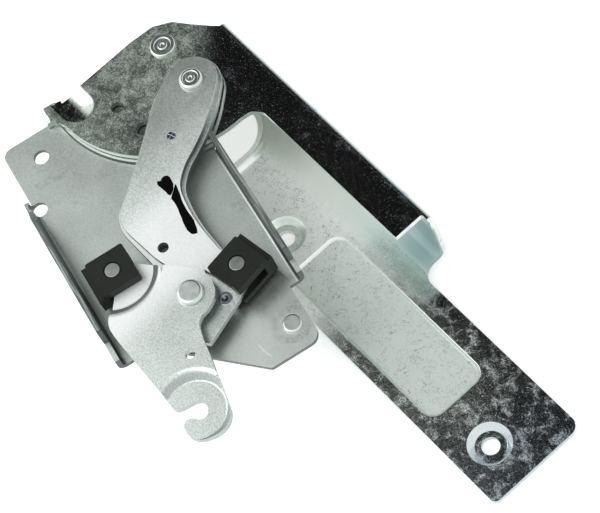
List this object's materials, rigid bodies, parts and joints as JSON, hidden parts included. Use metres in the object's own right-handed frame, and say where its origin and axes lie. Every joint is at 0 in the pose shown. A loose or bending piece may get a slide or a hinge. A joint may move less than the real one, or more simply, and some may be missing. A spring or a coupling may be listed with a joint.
{
  "type": "dishwasher door hinge",
  "caption": "Friction hinge for a dishwasher door: a flanged base bracket carries a folded door arm, and a crank lever with slide blocks and a spring hook guides it.",
  "frame": {"origin": "centre of the base bracket's screw hole, at the bracket's underside", "axes": "+X along the door arm away from the hinge axis, +Z along the hinge axis, out of the side that carries the lever"},
  "size_m": [0.2425, 0.1251, 0.0465],
  "materials": {
    "satin_sheet": "satin zinc",
    "zinc_sheet": "bright zinc plate with a fine mottled grain",
    "lever_sheet": "satin zinc with fine speckle",
    "bright_rivet": "bright",
    "pin_steel": "dull ground steel",
    "slide_plastic": "black moulded plastic"
  },
  "bodies": {
    "base": {"base_bracket": "satin_sheet", "foot_rivet": "bright_rivet", "pivot_rivet": "bright_rivet", "pivot_washer": "satin_sheet"},
    "arm": {"door_arm": "zinc_sheet"},
    "lever": {"lever_lower": "lever_sheet", "lever_upper": "lever_sheet", "crank_pin": "bright_rivet", "crank_washer": "satin_sheet", "lever_clinch": "bright_rivet", "tail_eyelet": "bright_rivet", "hook_rivet": "bright_rivet", "hook_washer": "satin_sheet", "right_block_pin": "pin_steel"},
    "hook": {"hook_lever": "lever_sheet", "left_block_pin": "pin_steel"},
    "right_block": {"right_slide_block": "slide_plastic"},
    "left_block": {"left_slide_block": "slide_plastic"}
  },
  "joints": [
    {"name": "door_swing", "type": "hinge", "parent": "base", "child": "arm", "pos_m": [0.00025, 0.06576, 0], "axis": [0, 0, 1], "range_deg": [0, 81]},
    {"name": "lever_swing", "type": "hinge", "parent": "arm", "child": "lever", "pos_m": [0.02545, 0.06276, 0], "axis": [0, 0, 1], "range_deg": [-99.82, 0]},
    {"name": "hook_swing", "type": "hinge", "parent": "lever", "child": "hook", "pos_m": [0.09925, 0.00356, 0], "axis": [0, 0, 1], "range_deg": [0, 15.58]},
    {"name": "right_block_turn", "type": "hinge", "parent": "lever", "child": "right_block", "pos_m": [0.10325, 0.02376, 0], "axis": [0, 0, 1], "range_deg": [-7.48, 0]},
    {"name": "left_block_turn", "type": "hinge", "parent": "hook", "child": "left_block", "pos_m": [0.06995, -0.01184, 0], "axis": [0, 0, 1], "range_deg": [0, 4.24]}
  ],
  "couplings": [
    {"joint": "lever_swing", "follows": "door_swing", "ratio": -1.22},
    {"joint": "hook_swing", "follows": "door_swing", "ratio": 0.18},
    {"joint": "right_block_turn", "follows": "door_swing", "ratio": -0.08},
    {"joint": "left_block_turn", "follows": "door_swing", "ratio": 0.04}
  ]
}
